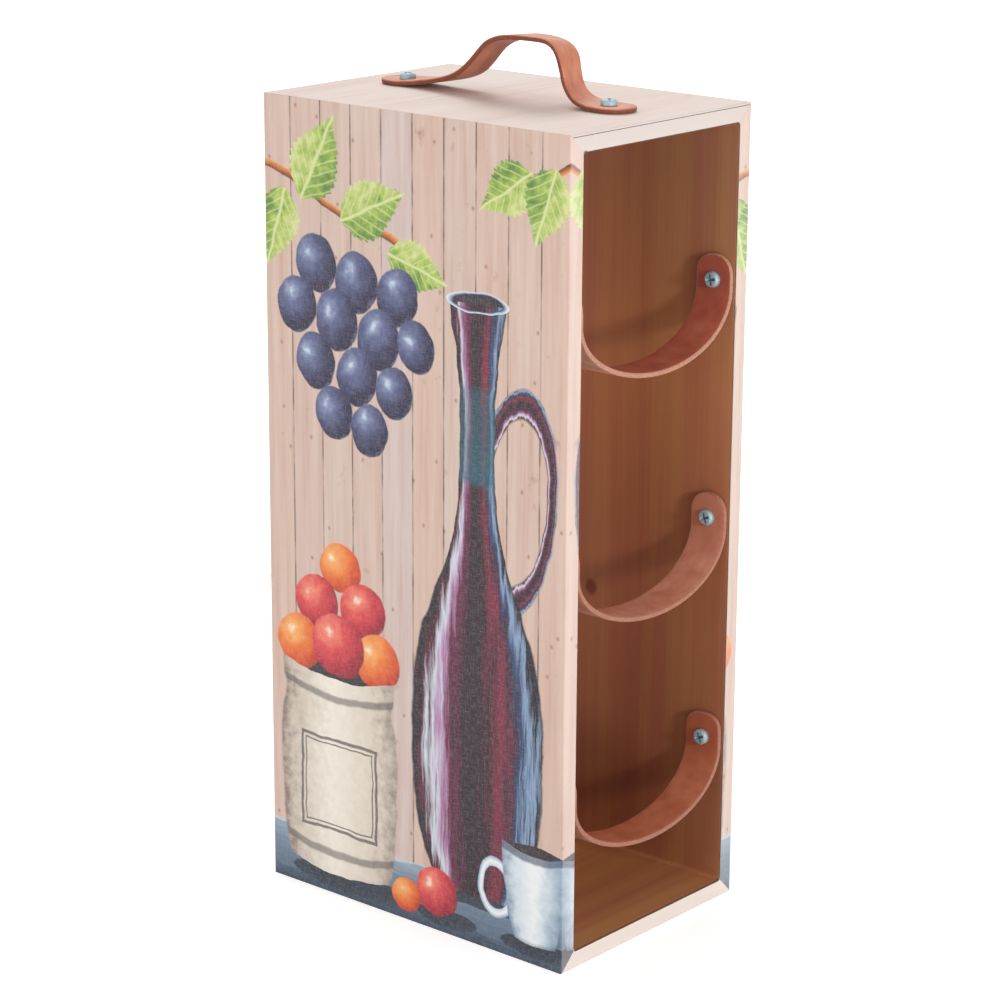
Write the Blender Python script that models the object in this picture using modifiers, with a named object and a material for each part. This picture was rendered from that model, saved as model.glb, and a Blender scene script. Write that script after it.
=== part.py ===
# Wine bottle holder: an upright mitred case of four boards, open at the front and the back, with a canvas
# skin on each side, leather slings for three bottles that lie one above another, and a leather handle.
# Metres, +Z up, open front towards -Y, origin at the centre of the underside.
import math

import bmesh
import bpy
from mathutils import Matrix, Vector
from mathutils.geometry import interpolate_bezier

# The case
case_width = 0.134
case_depth = 0.190
case_height = 0.400
wall_thickness = 0.009
canvas_thickness = 0.0005
gap = 0.0003
merge_distance = 0.00001
overrun = 0.002

# The slings
sling_width = 0.0205
sling_thickness = 0.0024
sling_sag = 0.036
sling_tab_rise = 0.0125
sling_straight_drop = 0.0035
sling_lean = 0.004
sling_inset = 0.0011
top_sling_room = 0.0758
bottom_sling_room = 0.0745
middle_sling_share = 0.49
sling_curve_steps = 28
sling_hole_radius = 0.0019

# The handle
handle_width = 0.021
handle_thickness = 0.0024
handle_rise = 0.029
handle_screw_setback = 0.0325
handle_end_reach = 0.0135
handle_hole_radius = 0.0019
span_steps = 4

# The screws
screw_head_radius = 0.0040
screw_head_height = 0.0028
screw_head_rim = 0.0010
screw_shank_radius = 0.0015
screw_length = 0.0085
screw_tip_length = 0.0020
screw_recess_width = 0.0011
screw_recess_reach = 0.0021
screw_recess_depth = 0.0013
screw_steps = 20
screw_dome_steps = 4
pilot_radius = 0.0018
pilot_clearance = 0.0004

# Rounded strap ends, in steps of a quarter turn
round_steps = 6

# The handle's underside as (y, z): y in shares of half the screw spacing, front to back, and z in shares
# of the rise. The leather has set unevenly, so its two edges follow different lines.
handle_left_shares = (
    (-1.00, 0.000), (-0.90, 0.014), (-0.80, 0.078), (-0.73, 0.195), (-0.68, 0.370), (-0.65, 0.580),
    (-0.62, 0.770), (-0.58, 0.905), (-0.51, 0.985), (-0.38, 1.000), (-0.19, 0.990), (-0.05, 0.950),
    (0.06, 0.845), (0.14, 0.675), (0.24, 0.470), (0.34, 0.310), (0.45, 0.205), (0.61, 0.115),
    (0.80, 0.040), (0.93, 0.006), (1.00, 0.000),
)
handle_right_shares = (
    (-1.00, 0.000), (-0.83, 0.010), (-0.73, 0.048), (-0.646, 0.138), (-0.592, 0.286), (-0.563, 0.510),
    (-0.547, 0.693), (-0.517, 0.800), (-0.464, 0.876), (-0.384, 0.921), (-0.267, 0.945), (-0.141, 0.938),
    (0.00, 0.876), (0.106, 0.772), (0.174, 0.634), (0.253, 0.448), (0.336, 0.297), (0.448, 0.186),
    (0.608, 0.103), (0.80, 0.038), (1.00, 0.000),
)

# Colours from the photograph, as linear values
pale_wood = (0.78, 0.70, 0.64)
stained_wood = (0.20, 0.075, 0.037)
canvas_print = (0.56, 0.47, 0.42)
sling_leather = (0.36, 0.105, 0.060)
handle_leather = (0.44, 0.150, 0.075)
zinc = (0.62, 0.66, 0.68)

# Derived places
half_width = case_width / 2
half_depth = case_depth / 2
inner_half_width = half_width - wall_thickness
skin = canvas_thickness + gap
sling_span = inner_half_width - gap
mitre_shift = gap / 2 * math.sqrt(2)
sling_lines = {"front": sling_inset + sling_width / 2 - half_depth,
               "rear": half_depth - sling_inset - sling_width / 2}
top_sling_height = case_height - wall_thickness - top_sling_room
bottom_sling_height = wall_thickness + bottom_sling_room
sling_heights = {
    "top": top_sling_height,
    "middle": bottom_sling_height + middle_sling_share * (top_sling_height - bottom_sling_height),
    "bottom": bottom_sling_height,
}
handle_screw_reach = half_depth - handle_screw_setback
handle_lines = {"front": -handle_screw_reach, "rear": handle_screw_reach}
handle_seat = case_height + gap

scene = bpy.context.scene
for old in list(bpy.data.objects):
    bpy.data.objects.remove(old)
holder = bpy.data.collections.new("wine_bottle_holder")
cutters = bpy.data.collections.new("cutters")
scene.collection.children.link(holder)
scene.collection.children.link(cutters)


def make_material(name, colour, roughness, metallic=0.0):
    material = bpy.data.materials.new(name)
    material.use_nodes = True
    shader = material.node_tree.nodes["Principled BSDF"]
    shader.inputs["Base Color"].default_value = (*colour, 1.0)
    shader.inputs["Roughness"].default_value = roughness
    shader.inputs["Metallic"].default_value = metallic
    return material


def add_object(name, mesh, material):
    piece = bpy.data.objects.new(name, mesh)
    holder.objects.link(piece)
    if not mesh.materials:
        mesh.materials.append(material)
    return piece


def add_cutter(name, solid):
    mesh = bpy.data.meshes.new(name)
    solid.to_mesh(mesh)
    solid.free()
    tool = bpy.data.objects.new(name, mesh)
    cutters.objects.link(tool)
    tool.hide_render = True
    tool.display_type = "WIRE"
    return tool


def cut(piece, tool, label):
    modifier = piece.modifiers.new(label, "BOOLEAN")
    modifier.operation = "DIFFERENCE"
    modifier.solver = "EXACT"
    modifier.object = tool


def prism(name, outline, half_length):
    """A mesh with this (x, z) outline, running along Y for half_length to each side of y = 0."""
    curve = bpy.data.curves.new(name, "CURVE")
    curve.dimensions = "2D"
    curve.fill_mode = "BOTH"
    curve.extrude = half_length
    spline = curve.splines.new("POLY")
    spline.points.add(len(outline) - 1)
    for point, (x, z) in zip(spline.points, outline):
        point.co = (x, z, 0, 1)
    spline.use_cyclic_u = True
    rough = bpy.data.objects.new(name, curve)
    scene.collection.objects.link(rough)
    rough.rotation_euler = (math.pi / 2, 0, 0)
    bpy.context.view_layer.update()
    evaluated = rough.evaluated_get(bpy.context.evaluated_depsgraph_get())
    mesh = bpy.data.meshes.new_from_object(evaluated)
    mesh.transform(rough.matrix_world)
    bpy.data.objects.remove(rough)
    solid = bmesh.new()
    solid.from_mesh(mesh)
    bmesh.ops.remove_doubles(solid, verts=solid.verts, dist=merge_distance)
    bmesh.ops.recalc_face_normals(solid, faces=solid.faces)
    solid.to_mesh(mesh)
    solid.free()
    mesh.name = name
    return mesh


def block(name, low, high):
    """A cutter box between two corners."""
    size = Vector(high) - Vector(low)
    solid = bmesh.new()
    bmesh.ops.create_cube(solid, size=1)
    bmesh.ops.scale(solid, vec=size, verts=solid.verts)
    bmesh.ops.translate(solid, vec=(Vector(high) + Vector(low)) / 2, verts=solid.verts)
    return add_cutter(name, solid)


def rod(name, radius, start, end):
    """A cutter cylinder between two points."""
    start, end = Vector(start), Vector(end)
    axis = end - start
    turn = axis.to_track_quat("Z", "Y").to_matrix().to_4x4()
    solid = bmesh.new()
    bmesh.ops.create_cone(solid, cap_ends=True, segments=screw_steps, radius1=radius, radius2=radius,
                          depth=axis.length, matrix=Matrix.Translation((start + end) / 2) @ turn)
    return add_cutter(name, solid)


# The boards are mitred: each end is cut at 45 degrees, and a glue line of one gap stays in the joint.
def build_top_and_bottom():
    material = make_material("whitewashed_wood", pale_wood, 0.6)
    outer = half_width - mitre_shift
    inner = inner_half_width - mitre_shift
    low = wall_thickness
    bottom = prism("bottom_board", [(-outer, 0), (outer, 0), (inner, low), (-inner, low)], half_depth)
    add_object("bottom_board", bottom, material)
    high = case_height - wall_thickness
    top = prism("top_board", [(-inner, high), (inner, high), (outer, case_height), (-outer, case_height)],
                half_depth)
    piece = add_object("top_board", top, material)
    for name, y in handle_lines.items():
        tool = rod(f"pilot_{name}", pilot_radius, (0, y, case_height + overrun),
                   (0, y, handle_seat + handle_thickness - screw_length - pilot_clearance))
        cut(piece, tool, f"pilot {name}")


def side_outline(side, outer):
    """A side board's mitred outline, with its outer face this far from the middle."""
    step = half_width - outer
    outline = [(outer, step + mitre_shift), (outer, case_height - step - mitre_shift),
               (inner_half_width, case_height - wall_thickness - mitre_shift),
               (inner_half_width, wall_thickness + mitre_shift)]
    return [(side * x, z) for x, z in outline]


def build_side(name, side, wood, cloth):
    board_name = f"{name}_side_board"
    board = prism(board_name, side_outline(side, half_width - skin), half_depth - skin)
    board = add_object(board_name, board, wood)
    for place, y in sling_lines.items():
        for level, z in sling_heights.items():
            label = f"pilot_{level}_{place}_{name}"
            depth = screw_length - sling_thickness + pilot_clearance
            cut(board, rod(label, pilot_radius, (side * (inner_half_width - overrun), y, z),
                           (side * (inner_half_width + depth), y, z)), label)
    wrap_name = f"{name}_canvas_wrap"
    wrap = add_object(wrap_name, prism(wrap_name, side_outline(side, half_width), half_depth), cloth)
    room = half_depth - canvas_thickness
    near, far = sorted((side * (half_width - canvas_thickness), side * (inner_half_width - overrun)))
    tool = block(f"{name}_board_room", (near, -room, -overrun), (far, room, case_height + overrun))
    cut(wrap, tool, "room for the board")


def ribbon(name, left, right, ends, material, thickness):
    """A strap between two edge lines with the same number of points. Its ends are rounded: ends gives the
    share of the full width at each point."""
    solid = bmesh.new()
    rows = []
    for a, b, share in zip(left, right, ends):
        middle = (a + b) / 2
        rows.append([solid.verts.new(middle + (a - middle) * share),
                     solid.verts.new(middle + (b - middle) * share)])
    for low, high in zip(rows, rows[1:]):
        solid.faces.new((low[0], low[1], high[1], high[0]))
    mesh = bpy.data.meshes.new(name)
    solid.to_mesh(mesh)
    solid.free()
    strap = add_object(name, mesh, material)
    leather = strap.modifiers.new("leather", "SOLIDIFY")
    leather.thickness = thickness
    leather.offset = -1
    leather.use_even_offset = True
    return strap


def end_steps(radius):
    """Distances along a rounded strap end, and the share of the full width at each."""
    turns = [math.pi / 2 * (step + 0.5) / (round_steps + 0.5) for step in range(round_steps + 1)]
    return [(radius * (1 - math.cos(turn)), math.sin(turn)) for turn in turns]


def sling_path():
    """The wall side of a sling, from the top of its left tab round to the top of the right one, with its
    screws at z = 0."""
    radius = sling_width / 2
    start = -sling_straight_drop
    drop = sling_sag - sling_straight_drop
    left = [(Vector((-sling_span, 0, sling_tab_rise - run)), share) for run, share in end_steps(radius)]
    left.append((Vector((-sling_span, 0, 0)), 1))
    bend = []
    for step in range(sling_curve_steps + 1):
        turn = math.pi * step / sling_curve_steps
        x = -sling_span * math.cos(turn) + sling_lean * math.sin(turn) ** 2
        bend.append((Vector((x, 0, start - drop * math.sin(turn))), 1))
    right = [(Vector((-point.x, 0, point.z)), share) for point, share in reversed(left)]
    return left + bend + right


def build_sling(level, place, material):
    y, height = sling_lines[place], sling_heights[level]
    route = sling_path()
    aside = Vector((0, sling_width / 2, 0))
    left = [point - aside for point, share in route]
    right = [point + aside for point, share in route]
    strap = ribbon(f"{place}_{level}_sling", left, right, [share for point, share in route], material,
                   sling_thickness)
    strap.location = (0, y, height)
    hole = rod(f"sling_hole_{level}_{place}", sling_hole_radius, (-half_width, y, height),
               (half_width, y, height))
    cut(strap, hole, "screw holes")


def smooth_line(shares):
    """The handle's edge line as (y, z) points, smooth through its shares."""
    knots = [Vector((y * handle_screw_reach, z * handle_rise, 0)) for y, z in shares]
    slopes = [(after - before) / 6 for before, after in zip(knots, knots[2:])]
    slopes = [(knots[1] - knots[0]) / 3, *slopes, (knots[-1] - knots[-2]) / 3]
    line = []
    for k in range(len(knots) - 1):
        span = interpolate_bezier(knots[k], knots[k] + slopes[k], knots[k + 1] - slopes[k + 1], knots[k + 1],
                                  span_steps + 1)
        line += span[:-1]
    return line + [knots[-1]]


def build_handle():
    radius = handle_width / 2
    tip = handle_screw_reach + handle_end_reach
    ends = end_steps(radius)
    edges = []
    for side, shares in ((-1, handle_left_shares), (1, handle_right_shares)):
        front = [Vector((side * radius, run - tip, handle_seat)) for run, share in ends]
        line = [Vector((side * radius, y, handle_seat + z)) for y, z, flat in smooth_line(shares)]
        rear = [Vector((side * radius, tip - run, handle_seat)) for run, share in reversed(ends)]
        edges.append(front + line + rear)
    widths = [share for run, share in ends]
    widths = widths + [1] * (len(edges[0]) - 2 * len(ends)) + widths[::-1]
    leather = make_material("handle_leather", handle_leather, 0.55)
    strap = ribbon("handle_strap", edges[1], edges[0], widths, leather, handle_thickness)
    for name, y in handle_lines.items():
        hole = rod(f"handle_hole_{name}", handle_hole_radius, (0, y, handle_seat - overrun),
                   (0, y, handle_seat + handle_thickness + overrun))
        cut(strap, hole, f"hole {name}")


def screw_mesh(material):
    """A pan-head screw along Z: the underside of its head at z = 0, its shank below."""
    profile = [(0, screw_head_height)]
    for step in range(1, screw_dome_steps + 1):
        turn = math.pi / 2 * step / screw_dome_steps
        crown = screw_head_height - screw_head_rim
        profile.append((screw_head_radius * math.sin(turn), screw_head_rim + crown * math.cos(turn)))
    profile += [(screw_head_radius, 0), (screw_shank_radius, 0),
                (screw_shank_radius, screw_tip_length - screw_length), (0, -screw_length)]
    mesh = bpy.data.meshes.new("screw_profile")
    mesh.from_pydata([(x, 0, z) for x, z in profile], [(k, k + 1) for k in range(len(profile) - 1)], [])
    turned = bpy.data.objects.new("screw_profile", mesh)
    scene.collection.objects.link(turned)
    spin = turned.modifiers.new("turned", "SCREW")
    spin.angle = 2 * math.pi
    spin.steps = screw_steps
    spin.render_steps = screw_steps
    spin.use_merge_vertices = True
    spin.merge_threshold = merge_distance
    high = screw_head_height + overrun
    low = screw_head_height - screw_recess_depth
    half = screw_recess_width / 2
    for label, x, y in (("along", screw_recess_reach, half), ("across", half, screw_recess_reach)):
        cut(turned, block(f"recess_{label}", (-x, -y, low), (x, y, high)), f"recess {label}")
    bpy.context.view_layer.update()
    evaluated = turned.evaluated_get(bpy.context.evaluated_depsgraph_get())
    finished = bpy.data.meshes.new_from_object(evaluated)
    bpy.data.objects.remove(turned)
    finished.name = "screw"
    finished.materials.clear()
    finished.materials.append(material)
    return finished


def place_screw(name, mesh, seat, out, material):
    """A screw with the underside of its head at seat, its head pointing along out."""
    screw = add_object(name, mesh, material)
    screw.location = seat
    screw.rotation_euler = Vector(out).to_track_quat("Z", "Y").to_euler()


def build_screws():
    material = make_material("zinc_plated_steel", zinc, 0.35, 1.0)
    mesh = screw_mesh(material)
    for name, y in handle_lines.items():
        seat = (0, y, handle_seat + handle_thickness + gap)
        place_screw(f"{name}_handle_screw", mesh, seat, (0, 0, 1), material)
    face = sling_span - sling_thickness - gap
    for place, y in sling_lines.items():
        for level, z in sling_heights.items():
            place_screw(f"{place}_{level}_screw_left", mesh, (-face, y, z), (1, 0, 0), material)
            place_screw(f"{place}_{level}_screw_right", mesh, (face, y, z), (-1, 0, 0), material)


stained = make_material("stained_wood", stained_wood, 0.5)
printed = make_material("printed_canvas", canvas_print, 0.75)
sling_material = make_material("sling_leather", sling_leather, 0.6)
build_top_and_bottom()
build_side("left", -1, stained, printed)
build_side("right", 1, stained, printed)
for place in sling_lines:
    for level in sling_heights:
        build_sling(level, place, sling_material)
build_handle()
build_screws()
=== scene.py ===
# Wine bottle holder: the finishes and the fine forms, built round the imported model. Metres, +Z up, with
# the open front towards -Y. The case stands on a pale floor in soft studio light.
import math
from functools import partial

import bmesh
import bpy
from mathutils import Matrix, Vector, noise
from mathutils.geometry import interpolate_bezier


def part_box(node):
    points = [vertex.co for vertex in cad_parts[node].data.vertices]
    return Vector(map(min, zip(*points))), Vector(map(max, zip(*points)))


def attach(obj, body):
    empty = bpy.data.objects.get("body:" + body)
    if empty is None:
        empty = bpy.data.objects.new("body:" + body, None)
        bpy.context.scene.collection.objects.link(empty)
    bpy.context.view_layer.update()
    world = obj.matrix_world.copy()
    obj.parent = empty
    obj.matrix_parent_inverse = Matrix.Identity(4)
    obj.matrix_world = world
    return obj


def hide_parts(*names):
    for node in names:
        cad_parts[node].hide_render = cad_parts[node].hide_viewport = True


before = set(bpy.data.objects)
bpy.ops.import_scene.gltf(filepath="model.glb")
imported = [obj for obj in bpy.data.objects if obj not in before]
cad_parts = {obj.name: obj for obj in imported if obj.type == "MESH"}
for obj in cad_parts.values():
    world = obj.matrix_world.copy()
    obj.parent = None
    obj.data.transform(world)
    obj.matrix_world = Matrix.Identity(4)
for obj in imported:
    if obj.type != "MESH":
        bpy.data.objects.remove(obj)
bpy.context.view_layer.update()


def centre(packed):
    """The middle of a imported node's box."""
    low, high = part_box(packed)
    return [(a + b) / 2 for a, b in zip(low, high)]


# The case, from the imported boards
top_low, top_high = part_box("top_board")
case_height = top_high.z
half_height = case_height / 2
half_depth = top_high.y
wall_thickness = top_high.z - top_low.z
half_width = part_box("right_canvas_wrap")[1].x
inner_half_width = half_width - wall_thickness
canvas_thickness = 0.0005
gap = 0.0003
joint_line = 0.00006
skin = canvas_thickness + joint_line
mitre_overlap = 0.00001

# The boards' edges
outer_arris = 0.0004
inner_arris = 0.0006
arris_steps = 3
arris_wander = 0.00012
arris_wander_length = 0.012
board_step = 0.004
facing_line_depth = 0.0012
facing_line_width = 0.0003
facing_line_cut = 0.00018
corner_fillet = 0.0034
corner_fillet_inside = 0.0014
corner_fillet_depth = 0.006
corner_steps = 8

# The leather
strap_row_step = 0.0018
strap_columns = 8
strap_edge_radius = 0.0006
strap_edge_steps = 3
tip_steps = 9
screw_dent = 0.00035
screw_dent_reach = 0.0052

# The slings' route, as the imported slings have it
sling_width = 0.0205
sling_thickness = 0.0024
sling_sag = 0.036
sling_tab_rise = 0.0125
sling_straight_drop = 0.0035
sling_lean = 0.004
sling_span = inner_half_width - gap
sling_squareness = {"top": 2.2, "middle": 2.2, "bottom": 2.8}
sling_curve_steps = 96

# The handle's route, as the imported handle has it
handle_width = 0.021
handle_thickness = 0.0024
handle_rise = 0.029
handle_screw_reach = centre("rear_handle_screw")[1]
handle_end_reach = 0.0135
handle_seat = case_height + gap
handle_squareness = 2.0
handle_span_steps = 8

# The screws
screw_head_radius = 0.0040
screw_head_height = 0.0028
screw_shank_radius = 0.0015
screw_length = 0.0085
screw_tip_length = 0.0020
screw_crown = 0.0003
screw_rim_height = 0.0010
screw_crown_share = 0.6
screw_recess_reach = 0.0029
screw_recess_width = 0.0012
screw_recess_depth = 0.0016
screw_recess_taper_share = 0.5
screw_turn_steps = 48
screw_first_turn = -45.5
screw_next_turn = 48.5
screw_shoulder_steps = 7

# The canvas
fold_radius = 0.0009
fold_steps = 6
free_edge_share = 0.4
canvas_step = 0.005

# Every mesh: points this close are merged, and edges that turn more than this many degrees stay sharp
merge_distance = 0.000002
crease_angle = 35
strap_crease_angle = 50

# The handle's underside as (y, z): y in shares of half the screw spacing, front to back, and z in shares
# of the rise. The leather has set unevenly, so its two edges follow different lines.
handle_left_shares = (
    (-1.00, 0.000), (-0.90, 0.014), (-0.80, 0.078), (-0.73, 0.195), (-0.68, 0.370), (-0.65, 0.580),
    (-0.62, 0.770), (-0.58, 0.905), (-0.51, 0.985), (-0.38, 1.000), (-0.19, 0.990), (-0.05, 0.950),
    (0.06, 0.845), (0.14, 0.675), (0.24, 0.470), (0.34, 0.310), (0.45, 0.205), (0.61, 0.115),
    (0.80, 0.040), (0.93, 0.006), (1.00, 0.000),
)
handle_right_shares = (
    (-1.00, 0.000), (-0.83, 0.010), (-0.73, 0.048), (-0.646, 0.138), (-0.592, 0.286), (-0.563, 0.510),
    (-0.547, 0.693), (-0.517, 0.800), (-0.464, 0.876), (-0.384, 0.921), (-0.267, 0.945), (-0.141, 0.938),
    (0.00, 0.876), (0.106, 0.772), (0.174, 0.634), (0.253, 0.448), (0.336, 0.297), (0.448, 0.186),
    (0.608, 0.103), (0.80, 0.038), (1.00, 0.000),
)

# The wood. Patterns are given across and along the grain, and places and sizes in millimetres.
limed_fibres = (2.2, 60)
limed_clouds = (18, 80)
limed_shades = [(0.34, "#DBC1B6"), (0.44, "#DFCABF"), (0.56, "#E2D1C7"), (0.68, "#E3D4CB")]
# The pigment on the open front and back, from the foot to the top: paler low down as painted light from the
# floor
edge_paint = [(0.0, "#ECE0D9"), (1.0, "#D3C9C3")]
chip_place = (-57.0, -95.0, 390.0)
chip_reach = (2.6, 2.6, 2.6)
chip_grit = (1.1, 1.1, 1.1)
chip_raggedness = 1.6
chip_fade = (1.45, 1.6, 0.85, 0.0)
chip_shade = "#6A4636"
stained_fibres = (2.0, 120)
stained_streaks = (13, 400)
stained_shades = [(0.3, "#BC7252"), (0.45, "#C17B56"), (0.55, "#C68458"), (0.7, "#CC8E5D")]
# Painted light and shade on the stain: up the case's height darker low down and lightest about two thirds up,
# and in bands across the depth
stain_fall = [(0.0, "#F8F8E6"), (0.06, "#E0DCD1"), (0.14, "#DAD8CF"), (0.27, "#E4E1D9"), (0.45, "#ECE8E0"),
              (0.65, "#FFFFF4"), (0.92, "#E9EFF8"), (1.0, "#ECFAFF")]
stain_bands = [(0.0, "#FFFFFF"), (0.2, "#F8F4F0"), (0.42, "#E2D8D8"), (0.62, "#E6E6E8"), (0.84, "#E9EDF0")]
# Stain pooled along the open front and back, darkened further there as painted shade
pooled_stain_shade = "#4A2A1C"
knot_place = (57.5, -9.5, 145.3)
knot_size = (5.0, 4.6, 5.6)
knot_shades = [(0.0, "#A8705C"), (0.3, "#BE8C7A"), (0.5, "#B07E6A"), (0.75, "#E2CCC4"), (1.0, "#FFFFFF")]
# A painted shadow of the bottom sling, low on the right wall
heavy_stain_place = (57.5, -4.0, 38.0)
heavy_stain_size = (20.0, 68.0, 48.0)
heavy_stain_shades = [(0.0, "#D2C6C4"), (0.5, "#DAD0CE"), (1.0, "#FFFFFF")]

# The leather's shades, dark to light: the slings' grain side and cut edge, their flesh side, and the handle's
# grain side, flesh side and cut edge. Each sling's shades are partly its dye and partly painted light and
# shade, and the handle's cut edge is darker than its face as painted shade. A sling is darker for this many
# millimetres below its screw: pressed leather, and painted shade.
sling_dyes = [("top", ("#AE5642", "#BD654E", "#C9745B"), ("#AE7760", "#C4917A")),
              ("middle", ("#C97E63", "#D69076", "#E1A288"), ("#9E6650", "#B47C66")),
              ("bottom", ("#B2603F", "#BF6D4C", "#CA7B5A"), ("#9C6350", "#B27964"))]
flesh_dye = ("#C48872", "#D39A82", "#DEAA92")
handle_dyes = [("#B16340", "#C37552", "#D0845F"), ("#A25B3E", "#B16A4C", "#BE7959"), ("#6E3A2B", "#8C4C39")]
# Pressed leather round a sling's screw, darkened further as painted shade
pressed_height = 18
pressed_share = 0.75
pressed_tone = "#F2F0F0"

# The zinc, dark and light: the plate, and the cross recess, darker as painted shade
plate_shades = ("#94AEB6", "#B5C8D0")
recess_shades = ("#6C919E", "#88ABB7")

# The print, in millimetres across and up
plank_width = 19.5
plank_shift = 0.09
plank_grain = (4.5, 90)
plank_stains = (15, 19)
nail_spacing = (26, 30)
joint_wear = (50, 20)
plank_shades = [(0.0, "#DDCCC8"), (0.3, "#E0C2B2"), (0.6, "#E0C8BC"), (1.0, "#DDC9BE")]
plank_grain_shades = [(0.25, "#E8D6CC"), (0.45, "#F4ECE7"), (0.65, "#FCFAF8")]
plank_stain_shades = [(0.22, "#B09C94"), (0.29, "#E6DCD7"), (0.36, "#FFFFFF")]
nail_mark = (0.012, 0.05, 0.7, 0.0)
nail_shade = "#A06C5A"
joint_mark = (0.008, 0.036, 0.9, 0.0)
joint_fading = (0.4, 0.6, 0.32, 1.0)
joint_shade = "#54443F"
thread_width = 0.6
thread_length = 4.0
fleck_shade = "#DDD6D0"
# The strips over the open front and back are mixed towards this pale tone
rubbed_shade = "#F0ECEA"
brush_sway = (3.4, 3.4, 0)
fruit_rim = 0.6
fruit_glint = (-0.2, 0.22, 0)
leaf_outline = [(0, 0), (0.06, 0.34), (0.18, 0.78), (0.38, 1.0), (0.6, 0.78), (0.82, 0.34), (1, 0)]
twig_bend = [(0, 0), (0.25, 0.7), (0.5, 0.35), (0.75, 0.9), (1, 0.5)]
pitcher_outline = [(0, 0.58), (0.03, 0.74), (0.12, 0.94), (0.25, 1.0), (0.38, 0.93), (0.5, 0.66), (0.6, 0.40),
                   (0.68, 0.29), (0.8, 0.26), (0.9, 0.30), (0.97, 0.39), (1, 0.41)]
crock_outline = [(0, 0.86), (0.06, 0.93), (0.3, 1.0), (0.72, 1.0), (0.86, 0.93), (0.92, 0.96), (1, 0.97)]
cup_outline = [(0, 0.60), (0.1, 0.70), (0.5, 0.90), (0.9, 0.99), (1, 1.0)]
pitcher_bands = [(0.0, "#000000"), (0.70, "#000000"), (0.715, "#E0E0E0"), (0.86, "#B0B0B0"),
                 (0.875, "#000000")]
crock_bands = [(0.08, "#000000"), (0.09, "#D0D0D0"), (0.12, "#D0D0D0"), (0.13, "#000000"), (0.88, "#000000"),
               (0.89, "#D0D0D0"), (0.915, "#D0D0D0"), (0.925, "#000000")]
cup_bands = [(0.0, "#C0C0C0"), (0.05, "#000000"), (0.9, "#000000"), (0.93, "#E0E0E0")]
upper_leaves = [((24, 352), 62, 48, 30), ((50, 344), 24, 46, 27), ((14, 356), -108, 42, 26),
                ((80, 333), -16, 40, 24)]
corner_leaves = [((168, 381), 214, 38, 24), ((182, 385), 252, 40, 25)]
plums = [((34, 322), 13.5, 15), ((60, 316), 14, 0), ((86, 312), 13.5, -20), ((21, 300), 13, -8),
         ((47, 296), 14, 10), ((74, 290), 14, -14), ((98, 290), 12, 20), ((33, 274), 13, 12),
         ((60, 270), 13.5, -6), ((84, 266), 12, 8), ((45, 250), 12.5, 16), ((68, 245), 12, -12)]
cloth_height = 31
cloth_shades = [(0.15, "#333F4E"), (0.26, "#46566A"), (0.34, "#5E7083"), (0.62, "#74879B"), (0.78, "#94A6B6"),
                (0.83, "#C3CFD8")]
cloth_shadows = [((57, 9), 44, 0.15), ((142, 25), 40, 0.16), ((117, 8), 20, 0.26), ((176, 8), 25, 0.2)]
shadow_shades = [(0.0, "#28303C"), (0.7, "#343E4C"), (1.0, "#46535F")]
twig_shades = [(0.3, "#6B3A2A"), (0.5, "#C06A35"), (0.7, "#E79A55")]
leaf_shades = [(0.25, "#5C8440"), (0.42, "#8FAE4C"), (0.55, "#B3C765"), (0.75, "#D6DC98")]
vein_shade = "#DDE3A6"
tooth_length = 0.04
tooth_depth = 3.5
vein_slant = 0.3
vein_spacing = 0.065
plum_shades = [(0.0, "#C8D4E6"), (0.10, "#8D98B8"), (0.26, "#646C90"), (0.48, "#474A6C"), (0.66, "#302D4A"),
               (0.80, "#23203A"), (0.87, "#5A5C7C"), (0.95, "#1D1A2E")]
red_shades = [(0.0, "#FFD9C8"), (0.10, "#F28A74"), (0.35, "#DD4F50"), (0.65, "#B5303F"), (1.0, "#5E1B2B")]
orange_shades = [(0.0, "#FFE7C4"), (0.12, "#F7B06A"), (0.4, "#EC7F3B"), (0.7, "#D4512F"), (1.0, "#7E2A26")]
hollow_shades = [(0.0, "#3A3238"), (1.0, "#241C24")]
glaze_shades = [(0.13, "#1C1824"), (0.18, "#5A2238"), (0.23, "#D6DCE8"), (0.28, "#B58AB0"), (0.33, "#6A2746"),
                (0.42, "#2A1B28"), (0.55, "#2C1A26"), (0.66, "#7E2C42"), (0.72, "#3A2438"), (0.77, "#33466A"),
                (0.82, "#8FA8C8"), (0.87, "#1F1A26")]
rim_shades = [(0.2, "#3B3B50"), (0.5, "#A9B8CE"), (0.8, "#E6ECF3")]
stoneware_shades = [(0.08, "#8B7C74"), (0.2, "#CFC1B3"), (0.45, "#F4ECDF"), (0.75, "#DDD0C2"),
                    (0.95, "#8E7F76")]
enamel_shades = [(0.08, "#7F94AB"), (0.25, "#D9E4EC"), (0.5, "#F7FAFB"), (0.75, "#B4C7D6"), (0.95, "#6F859E")]
basket_fruit = [((48, 172), 14, orange_shades), ((32, 152), 15, red_shades), ((63, 153), 15.5, red_shades),
                ((20, 129), 15.5, orange_shades), ((72, 129), 15.5, orange_shades),
                ((46, 132), 18, red_shades)]
low_fruit = [((111, 20), 14, red_shades), ((91, 13), 10, orange_shades)]

# The studio: each softbox's name, place, size and power, and how the floor's glow grows away from the case
softboxes = [("front_softbox", (-0.4, -2.0, 0.66), 0.2, 20),
             ("overhead_softbox", (0.9, 0.95, 1.7), 1.1, 17),
             ("left_softbox", (-2.4, 0.1, 0.8), 1.0, 14)]
world_light = 0.5
floor_half_size = 6
floor_glow = (0.2, 0.8, 0.45, 1.0)

scene = bpy.context.scene
millimetre = 0.001


def colour(text):
    """A sRGB hex colour as linear red, green, blue and alpha."""
    parts = [int(text[k:k + 2], 16) / 255 for k in (1, 3, 5)]
    return (*(part / 12.92 if part <= 0.04045 else ((part + 0.055) / 1.055) ** 2.4 for part in parts), 1.0)


def first_output(made):
    return next(output for output in made.outputs if output.enabled)


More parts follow.
